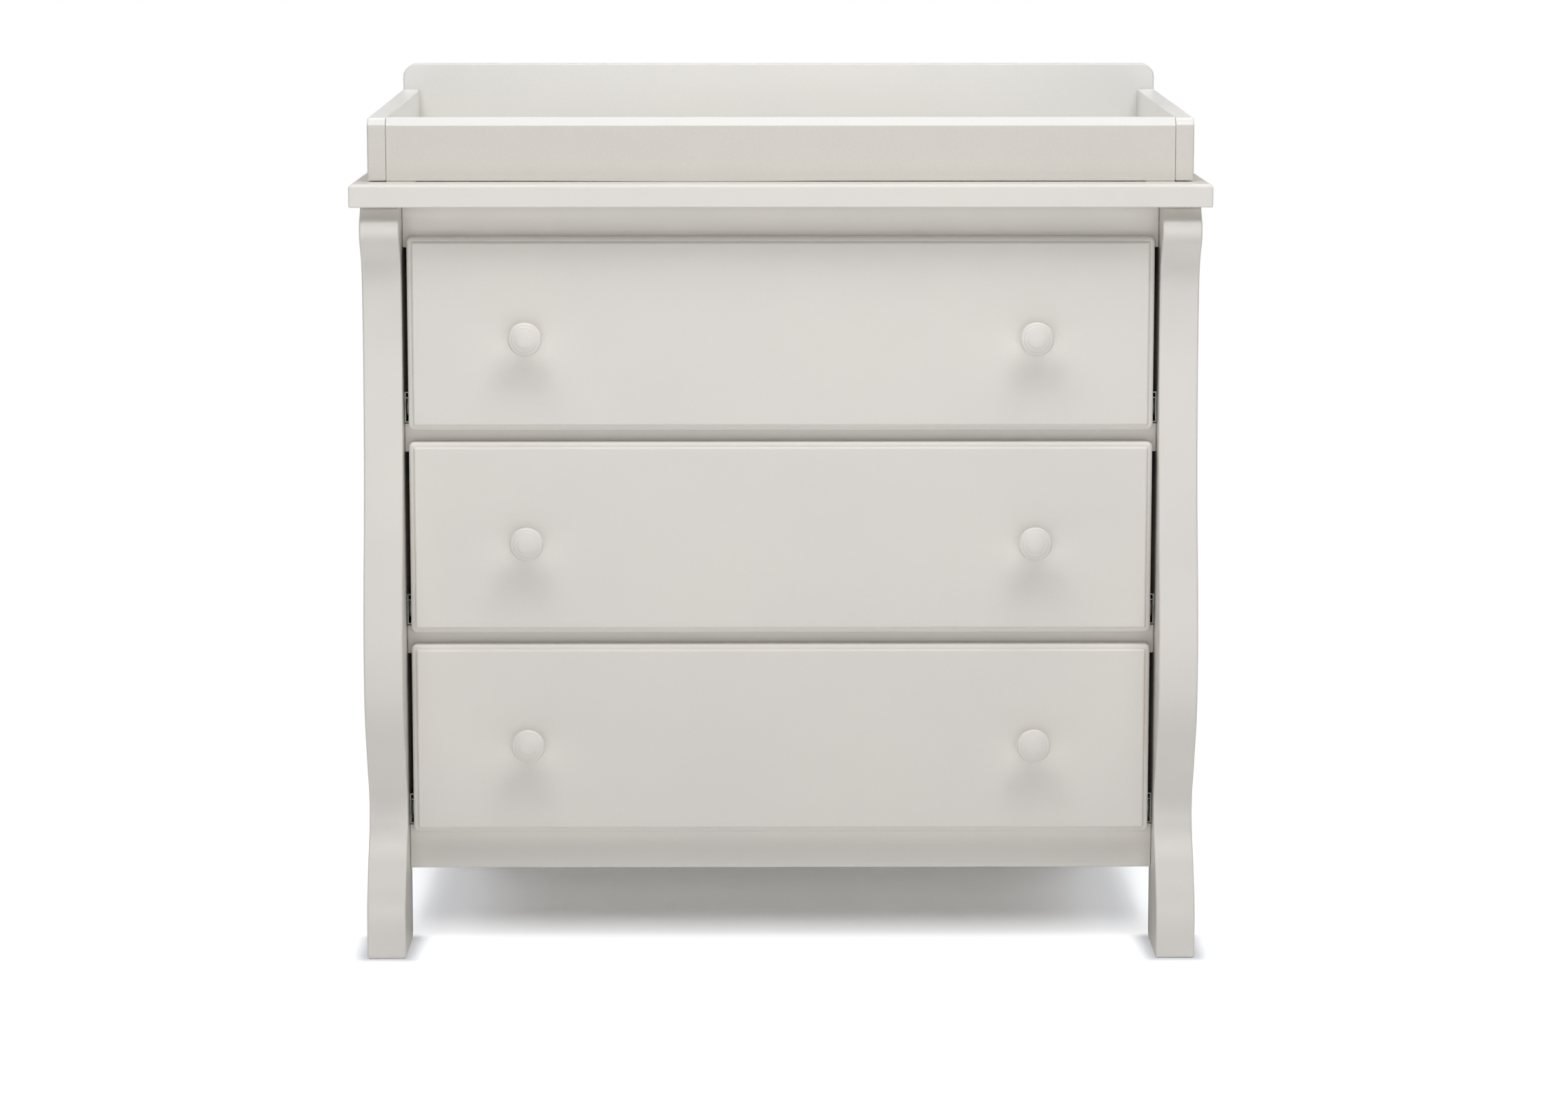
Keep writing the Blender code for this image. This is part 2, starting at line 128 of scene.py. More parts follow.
# Knobs: points of (radius, depth behind the front of the knob), but the neck's are of
# (radius, distance from the drawer)
KNOB_BUTTON = (
    (0.0, 0.0),
    (0.0060, 0.0001),
    (0.0084, 0.0003),
    (0.0100, 0.0009),
    (0.0112, 0.0014),
    (0.0126, 0.0016),
)
KNOB_STEP = ((0.0136, 0.0018), (0.0139, 0.0023), (0.0144, 0.0024))
KNOB_RIM_R = 0.0031
KNOB_RIM_DEPTH = 0.0056
KNOB_RIM_ARC = (80, -60, 12)  # first and last angle, and steps
KNOB_UNDER = ((0.0132, 0.0138), (0.0105, 0.0163), (0.0088, 0.0195))
KNOB_NECK = ((0.0083, 0.0050), (0.0086, 0.0025), (0.0096, 0.0006), (0.0094, 0.0), (0.0, 0.0))
KNOB_STEPS = 64
KNOB_SHARP_ANGLE = 50

# Screws: radius and height of a pan head, with a cross cut into it
SCREW_R = 0.0040
SCREW_H = 0.0020
SCREW_DOME = 4  # the power of the radius by which the head falls away from its crown
CROSS_HALF_W = 0.0006
CROSS_HALF_L = 0.0023
CROSS_DEPTH = 0.0008
SCREW_RINGS = 12
SCREW_STEPS = 48
PLATE_SCREW_AWAY = 0.0125  # above and below the top of the board

# Tray. The underside of its front rail sags: by how much, where, and how far to each side
BOW_DROP = 0.0007
BOW_MIDDLE = -0.095
BOW_REACH = 0.20
BOW_STEPS = 24
ON_UNDERSIDE = 0.00002
PAD_LENGTH = 0.031
PAD_BACK = 0.0006
PAD_GAP = 0.0001
PAINTED_LIGHT_UP = 0.4  # the least Z of the normal of a face that looks up; such faces of the tray's rail take painted light
PAINTED_SHADE_AHEAD = -0.9  # the most Y of the normal of a face that looks ahead; such faces of the tray's sides take painted shade
RAIL_BEVEL = 0.0084
RAIL_BEVEL_BEHIND = 0.0040
SIDE_CORNER_R = 0.012
BACK_CORNER_R = 0.015
SIDE_RISE = 0.009

# Materials. Heights of bumps are in metres
PAINT_COOL = (0.985, 0.987, 0.990)  # of the paint's colour, in its cooler clouds
PAINT_WARM = (1.012, 1.010, 1.004)
SPECKLE_BLUE = 1.05  # a speckle takes this much more from blue
PAINT_WAVE = 0.00012
BOARD_TONES = ((0.735, 0.690, 0.600, 1), (0.800, 0.765, 0.685, 1))
BOARD_PORES = (0.66, 0.61, 0.52, 1)
BOARD_GRAIN = 0.00004
STEEL_TONES = (
    (0.33, 0.35, 0.31),  # dark spangle
    (0.42, 0.44, 0.40),  # light spangle
    (0.28, 0.30, 0.26),  # dull patches
)
STEEL_ROLLED = 0.00002
NYLON_TONES = ((0.66, 0.66, 0.62, 1), (0.74, 0.74, 0.71, 1))
NYLON_GLOW = (0.002, 0.002, 0.002)
NYLON_SKIN = 0.00002

# Lights: name, azimuth and elevation in degrees, distance from the point they aim at,
# (width, height), watts
LIGHT_AIM = (0, -0.2, 0.45)
LIGHTS = (
    ("front_low", 0, 6, 5.0, (4.0, 1.6), 55),
    ("front_high", 0, 70, 2.6, (2.4, 1.0), 26),
    ("key_left", -38, 57, 3.0, (1.2, 1.2), 13),
    ("key_right", 40, 57, 3.0, (1.2, 1.2), 16),
    ("top", 0, 88, 2.6, (2.4, 2.4), 5),
    ("rear_top", 180, 55, 3.5, (2.4, 1.6), 34),
    ("rear_left", -120, 28, 4.5, (2.4, 2.0), 40),
    ("rear_right", 120, 28, 4.5, (2.4, 2.0), 40),
)
FLOOR_PANEL = ((4.0, 2.0), (0, -2.9, 0.02), 24)  # a light lying on the floor: size, place, watts
WORLD_LIGHT = 0.02
WORLD_SEEN = 1.0
FLOOR_REACH = 120.0
FLOOR_BOUNCE = (0.90, 0.90, 0.90, 1)  # the floor's colour for the light that it throws back
FLOOR_SEEN = (2.08, 2.14, 2.30, 1)  # and for the camera, where it shows the shadow

# The floor's shadow shows in a box under the object, and gives way to plain white in two steps:
# most of it over SHADOW_FADE outside the box, and the part SHADOW_KEPT from KEPT_NEAR to KEPT_FAR
SHADOW_STRETCH = (1.6, 1.0, 1.0)  # its sides fade faster than its front
SHADOW_SHIFT = (0, -0.11, 0)
SHADOW_HALF = (0.58, 0.16, 0)  # half the size of the stretched box
SHADOW_FADE = 0.15
SHADOW_KEPT = 0.25
KEPT_NEAR = 0.75
KEPT_FAR = 1.6

# A painted contact shadow: the white is a little darker close to the feet
FOOT_PLACE = (0.4233, 0.232, 0)
FOOT_HALF = (0.020, 0.046, 0)
CONTACT_REACH = 0.024
PAINTED_CONTACT_SHADOW = 0.35

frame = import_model()
BOARD_LOW, BOARD_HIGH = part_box("top_board")


def placed(name, data):
    """A new object in the scene."""
    obj = bpy.data.objects.new(name, data)
    bpy.context.scene.collection.objects.link(obj)
    return obj


# ---------------------------------------------------------------- materials


def new_tree(name):
    material = bpy.data.materials.new(name)
    material.use_nodes = True
    tree = material.node_tree
    return material, tree, tree.nodes["Principled BSDF"]


def add(tree, kind, values=(), **settings):
    """A shader node with its settings, and its inputs by name or number."""
    made = tree.nodes.new(kind)
    for key, value in settings.items():
        setattr(made, key, value)
    for key, value in dict(values).items():
        made.inputs[key].default_value = value
    return made


def noise(tree, place, scale, detail=2.0, roughness=0.5, distortion=0.0):
    values = {"Scale": scale, "Detail": detail, "Roughness": roughness, "Distortion": distortion}
    made = add(tree, "ShaderNodeTexNoise", values)
    tree.links.new(place, made.inputs["Vector"])
    return made.outputs["Fac"]


def spread(tree, source, low, high, from_low=0.3, from_high=0.7):
    """The source's middle range mapped onto low to high."""
    values = {"From Min": from_low, "From Max": from_high, "To Min": low, "To Max": high}
    made = add(tree, "ShaderNodeMapRange", values)
    tree.links.new(source, made.inputs["Value"])
    return made.outputs["Result"]


def mixed(tree, factor, first, second, blend="MIX"):
    """Two colours, each a constant or a socket, mixed by a factor that is also either."""
    made = add(tree, "ShaderNodeMix", data_type="RGBA", blend_type=blend)
    for socket, value in (("Factor_Float", factor), ("A_Color", first), ("B_Color", second)):
        entry = next(i for i in made.inputs if i.identifier == socket)
        if isinstance(value, bpy.types.NodeSocket):
            tree.links.new(value, entry)
        else:
            entry.default_value = value
    return next(o for o in made.outputs if o.identifier == "Result_Color")


def bumped(tree, shader, heights):
    """Bump layers of (height socket, distance in metres), one over the other."""
    normal = None
    for height, distance in heights:
        bump = add(tree, "ShaderNodeBump", {"Strength": 1.0, "Distance": distance})
        tree.links.new(height, bump.inputs["Height"])
        if normal is not None:
            tree.links.new(normal, bump.inputs["Normal"])
        normal = bump.outputs["Normal"]
    tree.links.new(normal, shader.inputs["Normal"])


def object_place(tree, stretch=(1, 1, 1), shift=(0, 0, 0)):
    """A place on the piece in metres, in the piece's own frame, stretched and then shifted."""
    coordinates = add(tree, "ShaderNodeTexCoord")
    mapping = add(tree, "ShaderNodeMapping", {"Scale": stretch, "Location": shift})
    tree.links.new(coordinates.outputs["Object"], mapping.inputs["Vector"])
    return mapping.outputs["Vector"]


def white_paint(name, colour, speckle, peel):
    """Satin lacquer: faint cloudiness, fine speckle and orange peel."""
    material, tree, shader = new_tree(name)
    place = object_place(tree)
    cloud = noise(tree, place, scale=5.0, detail=3.0)
    fleck = noise(tree, place, scale=650.0, roughness=0.6)
    cool, warm = (
        (*(part * c for part, c in zip(tone, colour)), 1) for tone in (PAINT_COOL, PAINT_WARM)
    )
    base = mixed(tree, spread(tree, cloud, low=0.0, high=1.0), cool, warm)
    dark = (1 - speckle, 1 - speckle, 1 - speckle * SPECKLE_BLUE, 1)
    flecks = spread(tree, fleck, low=1.0, high=0.0, from_low=0.35, from_high=0.65)
    tree.links.new(mixed(tree, flecks, base, dark, "MULTIPLY"), shader.inputs["Base Color"])
    smooth = noise(tree, place, scale=38.0, detail=3.0)
    tree.links.new(spread(tree, smooth, low=0.36, high=0.47), shader.inputs["Roughness"])
    shader.inputs["Specular IOR Level"].default_value = 0.45
    shader.inputs["Coat Weight"].default_value = 0.12
    shader.inputs["Coat Roughness"].default_value = 0.22
    peeled = noise(tree, place, scale=420.0, detail=1.5, roughness=0.4)
    wave = noise(tree, place, scale=60.0, detail=1.0, roughness=0.3)
    bumped(tree, shader, ((wave, PAINT_WAVE), (peeled, peel)))
    return material


def pale_board(name):
    """Foil-faced board with a faint printed grain along its length."""
    material, tree, shader = new_tree(name)
    broad_place = object_place(tree, stretch=(3.0, 3.0, 60.0))
    grain = noise(tree, broad_place, scale=6.0, detail=6.0, roughness=0.62, distortion=0.6)
    fine_place = object_place(tree, stretch=(20.0, 20.0, 420.0))
    fine = noise(tree, fine_place, scale=5.0, detail=3.0, roughness=0.6, distortion=0.2)
    base = mixed(tree, spread(tree, grain, low=0.0, high=1.0), *BOARD_TONES)
    base = mixed(tree, spread(tree, fine, low=0.0, high=0.35), base, BOARD_PORES)
    tree.links.new(base, shader.inputs["Base Color"])
    tree.links.new(spread(tree, fine, low=0.50, high=0.66), shader.inputs["Roughness"])
    shader.inputs["Specular IOR Level"].default_value = 0.35
    bumped(tree, shader, ((fine, BOARD_GRAIN),))
    return material


def plated_steel(name, bright):
    """Zinc-plated sheet: spangle, rolling marks and a few dull patches."""
    dark, light, dull = ((*(bright * c for c in tone), 1) for tone in STEEL_TONES)
    material, tree, shader = new_tree(name)
    place = object_place(tree)
    spangle = add(tree, "ShaderNodeTexVoronoi", {"Scale": 260.0})
    tree.links.new(place, spangle.inputs["Vector"])
    rolled = noise(tree, object_place(tree, stretch=(240.0, 4.0, 240.0)), scale=3.0)
    patch = noise(tree, place, scale=45.0, detail=3.0)
    to_middle = spangle.outputs["Distance"]
    cells = spread(tree, to_middle, low=0.0, high=1.0, from_low=0.0, from_high=0.8)
    base = mixed(tree, cells, dark, light)
    base = mixed(tree, spread(tree, patch, low=0.0, high=0.5), base, dull)
    tree.links.new(base, shader.inputs["Base Color"])
    tree.links.new(spread(tree, patch, low=0.36, high=0.55), shader.inputs["Roughness"])
    shader.inputs["Metallic"].default_value = 1.0
    bumped(tree, shader, ((rolled, STEEL_ROLLED),))
    return material


def nylon(name):
    """Moulded nylon with a dull, slightly mottled skin."""
    material, tree, shader = new_tree(name)
    place = object_place(tree)
    mottle = noise(tree, place, scale=180.0, detail=3.0)
    base = mixed(tree, spread(tree, mottle, low=0.0, high=1.0), *NYLON_TONES)
    tree.links.new(base, shader.inputs["Base Color"])
    tree.links.new(spread(tree, mottle, low=0.42, high=0.58), shader.inputs["Roughness"])
    shader.inputs["Subsurface Weight"].default_value = 0.1
    shader.inputs["Subsurface Radius"].default_value = NYLON_GLOW
    bumped(tree, shader, ((noise(tree, place, scale=900.0, detail=1.0), NYLON_SKIN),))
    return material


# Each white paint: its colour, how dark its speckles are, and the height of its orange peel.
# The tray's paint comes in two copies: a darker one with painted shade for its faces that look
# ahead, and a lighter one with painted light for the rest of the tray
PAINTS = {
    "dresser": ("dresser_lacquer", (0.800, 0.772, 0.731), 0.012, 0.000020),
    # Painted shade: the tray's darker copy, for its faces that look ahead
    "tray": ("tray_lacquer_painted_shade", (0.690, 0.659, 0.612), 0.045, 0.000035),
    # Painted light: the tray's lighter copy, for the rest of the tray
    "tray_painted_light": ("tray_lacquer_painted_light", (0.825, 0.815, 0.792), 0.030, 0.000035),
    "knob": ("knob_lacquer", (0.815, 0.787, 0.748), 0.008, 0.000010),
}
# Each look: the record's material slot, and the material
MATERIALS = {look: ("white_paint", white_paint(*paint)) for look, paint in PAINTS.items()}
MATERIALS["board"] = ("pale_board", pale_board("foil_board"))
MATERIALS["steel"] = ("plated_steel", plated_steel("zinc_plated_steel", bright=1.0))
MATERIALS["screw"] = ("plated_steel", plated_steel("zinc_plated_screw", bright=1.5))
MATERIALS["nylon"] = ("nylon", nylon("moulded_nylon"))


# ---------------------------------------------------------------- making pieces


def mesh_of(shape, name):
    bmesh.ops.recalc_face_normals(shape, faces=shape.faces)
    mesh = bpy.data.meshes.new(name)
    shape.to_mesh(mesh)
    shape.free()
    return mesh


def piece(name, mesh, look, node, stands_for=True):
    """A visible piece in the CAD node's place and on its body."""
    obj = placed(name, mesh)
    slot, material = MATERIALS[look]
    mesh.materials.clear()
    mesh.materials.append(material)
    mesh.shade_smooth()
    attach(obj, frame["nodes"][node]["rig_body"])
    if stands_for:
        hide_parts(node)
    return obj


def paint_light_and_shade_by_facing(obj, look, chosen):
    """Gives the faces whose normals are chosen a second, lighter or darker copy of the paint:
    painted light or painted shade by which way they face.
    """
    obj.data.materials.append(MATERIALS[look][1])
    for face in obj.data.polygons:
        if chosen(face.normal):
            face.material_index = 1


def soften(obj, width):
    bevel = obj.modifiers.new("rounded edges", "BEVEL")
    bevel.width = width
    bevel.segments = ROUND_STEPS
    bevel.limit_method = "ANGLE"
    bevel.angle_limit = math.radians(SHARP_ANGLE)
    bevel.harden_normals = True
    return bevel


def even_normals(obj):
    """Keeps broad flat faces flat where they meet small rounded ones."""
    weighted = obj.modifiers.new("even normals", "WEIGHTED_NORMAL")
    weighted.keep_sharp = True
    weighted.weight = FLAT_FACE_WEIGHT


def block(low, high):
    shape = bmesh.new()
    size = high - low
    place = Matrix.Translation((low + high) / 2) @ Matrix.Diagonal((*size, 1))
    bmesh.ops.create_cube(shape, size=1.0, matrix=place)
    return mesh_of(shape, "board")


def board(name, node, look, edge=BOARD_EDGE):
    """A board in the CAD node's box, with finely rounded edges."""
    obj = piece(name, block(*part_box(node)), look, node)
    soften(obj, edge)


def drawn_out(outline, axis, low, high):
    """A solid drawn out along X from an outline of (y, z), or along Y from an outline of (x, z)."""
    def at(point, distance):
        return (distance, *point) if axis == "X" else (point[0], distance, point[1])

    shape = bmesh.new()
    first = [shape.verts.new(at(point, low)) for point in outline]
    second = [shape.verts.new(at(point, high)) for point in outline]
    shape.faces.new(first)
    shape.faces.new(list(reversed(second)))
    count = len(outline)
    for i in range(count):
        j = (i + 1) % count
        shape.faces.new((first[i], second[i], second[j], first[j]))
    return mesh_of(shape, "drawn out")


def corner(point, sides, radius, steps=CORNER_STEPS):
    """Points of a quarter round at a corner, from the first of its two sides to the second."""
    start, end = (Vector(direction).normalized() * radius for direction in sides)
    centre = Vector(point) + start + end
    turns = [math.pi / 2 * i / steps for i in range(steps + 1)]
    return [tuple(centre - end * math.cos(a) - start * math.sin(a)) for a in turns]


def smooth_curve(knots, steps):
    """Points of a smooth curve through knots of (x, y, kind of Bezier handle)."""
    curve = bpy.data.curves.new("curve", "CURVE")
    spline = curve.splines.new("BEZIER")
    spline.bezier_points.add(len(knots) - 1)
    for knot, point in zip(spline.bezier_points, knots):
        knot.co = (*point[:2], 0)
        knot.handle_left_type = knot.handle_right_type = point[2]
    curve.resolution_u = steps
    helper = placed("curve", curve)
    bpy.context.view_layer.update()
    made = helper.to_mesh()
    points = [(vertex.co.x, vertex.co.y) for vertex in made.vertices]
    helper.to_mesh_clear()
    bpy.data.objects.remove(helper, do_unlink=True)
    bpy.data.curves.remove(curve)
    return points


# ---------------------------------------------------------------- the carcass


def front_post(word):
    node = f"{word}_front_post"
    low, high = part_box(node)
    front = BOARD_LOW.y
    toe = (front - FOOT_AHEAD, low.z)
    knots = [(toe[0], toe[1] + TOE_R, "VECTOR")]
    knots += [(front - ahead, height, "AUTO") for ahead, height in LEG_FRONT]
    knots += [(front - SHOULDER_AHEAD, high.z, "VECTOR")]
    outline = smooth_curve(knots, CURVE_STEPS)
    outline.append((high.y, high.z))
    outline += corner((high.y, low.z), ((0, 1), (-1, 0)), HEEL_R)
    outline += corner(toe, ((1, 0), (0, 1)), TOE_R, TOE_STEPS)[:-1]
    mesh = drawn_out(outline, "X", low.x, high.x)
    obj = piece(f"{word}_front_leg", mesh, "dresser", node)
    soften(obj, POST_EDGE)


def top_board():
    """The top board, more rounded above than below."""
    mesh = block(BOARD_LOW, BOARD_HIGH)
    middle = (BOARD_LOW.z + BOARD_HIGH.z) / 2
    weights = mesh.attributes.new("bevel_weight_edge", "FLOAT", "EDGE")
    for edge in mesh.edges:
        above = all(mesh.vertices[i].co.z > middle for i in edge.vertices)
        weights.data[edge.index].value = 1.0 if above else TOP_BOARD_UNDER / TOP_BOARD_EDGE
    obj = piece("dresser_top", mesh, "dresser", "top_board")
    soften(obj, TOP_BOARD_EDGE).limit_method = "WEIGHT"


def build_carcass():
    top_board()
    for word, _ in SIDES:
        front_post(word)
        board(f"{word}_rear_leg", f"{word}_rear_post", "dresser", REAR_POST_EDGE)
        board(f"{word}_side", f"{word}_side_panel", "dresser")
    for node in (
        "bottom_front_rail",
        "lower_middle_rail",
        "upper_middle_rail",
        "top_front_rail",
        "bottom_rear_rail",
        "top_rear_rail",
    ):
        board(f"{node}_face", node, "dresser", RAIL_EDGE)
    board("back_sheet", "back_panel", "board", BACK_SHEET_EDGE)


# ---------------------------------------------------------------- drawers


def ring(shape, half_w, half_h, radius, y):
    """A ring of vertices round a rectangle with rounded corners, facing -Y."""
    ends = ((1, 1, 0), (-1, 1, 90), (-1, -1, 180), (1, -1, 270))
    made = []
    for sx, sz, start in ends:
        for i in range(CORNER_STEPS + 1):
            turn = math.radians(start + 90 * i / CORNER_STEPS)
            x = sx * (half_w - radius) + radius * math.cos(turn)
            z = sz * (half_h - radius) + radius * math.sin(turn)
            made.append(shape.verts.new((x, y, z)))
    return made


def moulded_profile(thickness):
    """The moulded edge of a drawer front, from its back: (inset, distance in front of the back)."""
    turns = [math.pi / 2 * i / ARC_STEPS for i in range(ARC_STEPS + 1)]
    lip_start, field_start = LIP_T - LIP_ROUND, thickness - FIELD_ROUND

    def rounded(inset, start, radius):
        return [(inset + radius * (1 - math.cos(a)), start + radius * math.sin(a)) for a in turns]

    profile = list(FRONT_BACK_EDGE) + rounded(0.0, lip_start, LIP_ROUND)
    profile += [(FIELD_INSET, LIP_T), (FIELD_INSET, max(field_start, LIP_T + LEAST_RISE))]
    return profile + rounded(FIELD_INSET, field_start, FIELD_ROUND)[1:]


def drawer_front(place):
    node = f"{place}_drawer_front"
    low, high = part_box(node)
    size, centre = high - low, (low + high) / 2
    shape = bmesh.new()
    rings = []
    for inset, ahead in moulded_profile(size.y):
        radius = max(LIP_CORNER - inset, LEAST_CORNER)
        rings.append(ring(shape, size.x / 2 - inset, size.z / 2 - inset, radius, high.y - ahead))
    for outer, inner in zip(rings, rings[1:]):
        for i, vertex in enumerate(outer):
            j = (i + 1) % len(outer)
            shape.faces.new((vertex, outer[j], inner[j], inner[i]))
    shape.faces.new(rings[0])
    shape.faces.new(rings[-1])
    bmesh.ops.translate(shape, verts=shape.verts, vec=(centre.x, 0, centre.z))
    mesh = mesh_of(shape, "moulded front")
    obj = piece(f"{place}_drawer_face", mesh, "dresser", node)
    mesh.set_sharp_from_angle(angle=math.radians(SHARP_ANGLE))
    even_normals(obj)


def circle(radius, steps):
    turns = [2 * math.pi * i / steps for i in range(steps)]
    return [(radius * math.cos(a), radius * math.sin(a)) for a in turns]


def turned(profile, steps):
    """A turned solid round +Z from points of (radius, height) that begin and end on the axis."""
    shape = bmesh.new()
    rings = []
    for radius, height in profile:
        flat = circle(radius, steps) if radius else [(0, 0)]
        rings.append([shape.verts.new((x, y, height)) for x, y in flat])
    for upper, lower in zip(rings, rings[1:]):
        for i in range(steps):
            j = (i + 1) % steps
            corners = [upper[k % len(upper)] for k in (i, j)]
            corners += [lower[k % len(lower)] for k in (j, i)]
            shape.faces.new(list(dict.fromkeys(corners)))
    return shape


def arc(centre, radius, start, end, steps):
    """Points of an arc between two angles in degrees, in a profile's (radius, height) plane."""
    turns = [math.radians(start + (end - start) * i / steps) for i in range(steps + 1)]
    return [(centre[0] + radius * math.cos(a), centre[1] + radius * math.sin(a)) for a in turns]


def knob_profile(length, radius):
    """A mushroom knob: a soft button, a fine step, a rounded rim and a waisted neck."""
    profile = [(across, length - depth) for across, depth in KNOB_BUTTON + KNOB_STEP]
    profile += arc((radius - KNOB_RIM_R, length - KNOB_RIM_DEPTH), KNOB_RIM_R, *KNOB_RIM_ARC)
    profile += [(across, length - depth) for across, depth in KNOB_UNDER]
    return profile + list(KNOB_NECK)


def knob(place, word):
    node = f"{place}_drawer_{word}_knob"
    low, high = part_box(node)
    size, centre = high - low, (low + high) / 2
    shape = turned(knob_profile(size.y, size.x / 2), KNOB_STEPS)
    turn = Matrix.Translation((centre.x, high.y, centre.z)) @ Matrix.Rotation(math.pi / 2, 4, "X")
    bmesh.ops.transform(shape, matrix=turn, verts=shape.verts)
    mesh = mesh_of(shape, "knob")
    piece(f"{place}_{word}_knob_turned", mesh, "knob", node)
    mesh.set_sharp_from_angle(angle=math.radians(KNOB_SHARP_ANGLE))


def build_drawer(place):
    drawer_front(place)
    for word, _ in SIDES:
        knob(place, word)
        board(f"{place}_box_{word}", f"{place}_drawer_{word}_side", "board", BOX_EDGE)
    board(f"{place}_box_back", f"{place}_drawer_back", "board", BOX_EDGE)
    board(f"{place}_box_bottom", f"{place}_drawer_bottom", "board", BOX_BOTTOM_EDGE)


# ---------------------------------------------------------------- the tray


def bow_underside(mesh, floor):
    """Lets the underside of a long rail sag a little, towards the board under it."""
    shape = bmesh.new()
    shape.from_mesh(mesh)
    for i in range(BOW_STEPS + 1):
        across = BOW_MIDDLE + BOW_REACH * (2 * i / BOW_STEPS - 1)
        everything = shape.verts[:] + shape.edges[:] + shape.faces[:]
        bmesh.ops.bisect_plane(shape, geom=everything, plane_co=(across, 0, 0), plane_no=(1, 0, 0))
    for vertex in shape.verts:
        away = abs(vertex.co.x - BOW_MIDDLE) / BOW_REACH
        if vertex.co.z < floor + ON_UNDERSIDE and away < 1:
            vertex.co.z -= BOW_DROP * (0.5 + 0.5 * math.cos(math.pi * away))
    shape.to_mesh(mesh)
    shape.free()


def tray_front():
    node = "changing_top_front"
    low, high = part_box(node)
    outline = [
        (low.y, low.z),
        (low.y, high.z - RAIL_BEVEL),
        (low.y + RAIL_BEVEL, high.z),
        *corner((high.y, high.z), ((-1, 0), (0, -1)), RAIL_BEVEL_BEHIND),
        (high.y, low.z),
    ]
    mesh = drawn_out(outline, "X", low.x, high.x)
    bow_underside(mesh, low.z)
    # The rail takes the darker copy of the tray's paint as painted shade, and its faces that look
    # up take the lighter copy as a painted highlight
    obj = piece("tray_front", mesh, "tray", node)
    paint_light_and_shade_by_facing(obj, "tray_painted_light", lambda normal: normal.z > PAINTED_LIGHT_UP)
    soften(obj, TRAY_RAIL_EDGE)
    for word, side in SIDES:
        tray_pad(word, side, low, high)


def tray_pad(word, side, low, high):
    """A thin pad under a corner of the tray, on the board."""
    outer = high.x if side > 0 else low.x
    left, right = sorted((outer, outer - side * PAD_LENGTH))
    near = Vector((left, low.y + PAD_BACK, BOARD_HIGH.z + PAD_GAP))
    far = Vector((right, high.y - PAD_BACK, low.z - PAD_GAP))
    mesh = block(near, far)
    obj = piece(f"tray_{word}_pad", mesh, "board", "changing_top_front", stands_for=False)
    soften(obj, PAD_GAP)


def tray_side(word):
    node = f"changing_top_{word}"
    low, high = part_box(node)
    front_top = (low.y, high.z - SIDE_RISE)
    climb = (high.y - low.y, SIDE_RISE)
    outline = [
        (low.y, low.z),
        *corner(front_top, ((0, -1), climb), SIDE_CORNER_R),
        (high.y, high.z),
        (high.y, low.z),
    ]
    # The side takes the lighter copy of the tray's paint as painted light, and its end that looks
    # ahead takes the darker copy as painted shade
    obj = piece(f"tray_{word}", drawn_out(outline, "X", low.x, high.x), "tray_painted_light", node)
    paint_light_and_shade_by_facing(obj, "tray", lambda normal: normal.y < PAINTED_SHADE_AHEAD)
    soften(obj, TRAY_SIDE_EDGE)


def tray_back():
    node = "changing_top_back"
    low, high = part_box(node)
    outline = [
        (low.x, low.z),
        *corner((low.x, high.z), ((0, -1), (1, 0)), BACK_CORNER_R),
        *corner((high.x, high.z), ((-1, 0), (0, -1)), BACK_CORNER_R),
        (high.x, low.z),
    ]
    # The back board takes the lighter copy of the tray's paint, as painted light
    obj = piece("tray_back", drawn_out(outline, "Y", low.y, high.y), "tray_painted_light", node)
    soften(obj, TRAY_BACK_EDGE)


def build_tray():
    tray_front()
    tray_back()
    for word, _ in SIDES:
        tray_side(word)


# ---------------------------------------------------------------- screws


def screw_depth(x, y, along):
    """How far a pan head's surface lies below its crown, with a cross cut into it."""
    near, far = sorted((abs(x), abs(y)))
    cut = near < CROSS_HALF_W and far < CROSS_HALF_L
    return SCREW_H * along ** SCREW_DOME + (CROSS_DEPTH if cut else 0.0)


def screw_head(shape, place, turn):
    """A pan head, as a closed solid that stands on a surface at the place, along the turned +Z."""
    rings = []
    for number in range(1, SCREW_RINGS + 1):
        along = number / SCREW_RINGS
        flat = circle(SCREW_R * along, SCREW_STEPS)
        rings.append([shape.verts.new((x, y, SCREW_H - screw_depth(x, y, along))) for x, y in flat])
    crown = shape.verts.new((0, 0, SCREW_H - CROSS_DEPTH))
    for i in range(SCREW_STEPS):
        j = (i + 1) % SCREW_STEPS
        shape.faces.new((crown, rings[0][i], rings[0][j]))
        for inner, outer in zip(rings, rings[1:]):
            shape.faces.new((inner[i], outer[i], outer[j], inner[j]))
    shape.faces.new(list(reversed(rings[-1])))
    made = [crown] + [vertex for one in rings for vertex in one]
    bmesh.ops.transform(shape, matrix=Matrix.Translation(place) @ turn, verts=made)


def screws(name, places, node):
    """The heads of screws driven in from behind, as one piece on the node's body."""
    shape = bmesh.new()
    for place in places:
        screw_head(shape, place, Matrix.Rotation(-math.pi / 2, 4, "X"))
    obj = piece(name, mesh_of(shape, "screws"), "screw", node, stands_for=False)
    obj.data.set_sharp_from_angle(angle=math.radians(SHARP_ANGLE))


